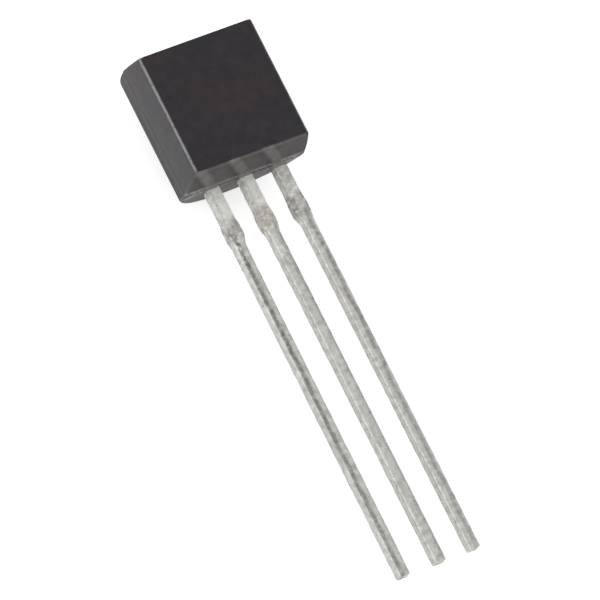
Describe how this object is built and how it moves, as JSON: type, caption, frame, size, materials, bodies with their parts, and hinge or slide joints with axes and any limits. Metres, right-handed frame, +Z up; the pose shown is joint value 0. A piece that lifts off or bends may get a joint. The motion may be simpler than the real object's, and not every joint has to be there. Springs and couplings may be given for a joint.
{
  "type": "hall effect sensor",
  "caption": "Three-lead hall effect sensor: D-shaped moulded epoxy body with a flat sensing face, and a row of long straight tinned leads.",
  "frame": {"origin": "on the surface that it lies on, under the middle of the whole part's length, in its plane of symmetry", "axes": "+X across the leads, from the supply lead to the output lead; +Y from the lead tips towards the body; +Z up, out of the side that the flat faces, with the part lying on its round back and its lead tips at about 7.5 degrees"},
  "size_m": [0.0044, 0.0186, 0.0039],
  "materials": {
    "epoxy": "satin moulded black epoxy",
    "tinned_lead": "matte hot-dipped tin over copper alloy strip",
    "silicon": "polished silicon",
    "adhesive": "cured silver-filled adhesive",
    "gold_wire": "bright drawn gold"
  },
  "bodies": {
    "root": {"body": "epoxy", "lead_supply": "tinned_lead", "lead_ground": "tinned_lead", "lead_output": "tinned_lead", "sensor_die": "silicon", "die_attach": "adhesive", "bond_wire_supply": "gold_wire", "bond_wire_ground": "gold_wire", "bond_wire_output": "gold_wire"}
  },
  "joints": []
}
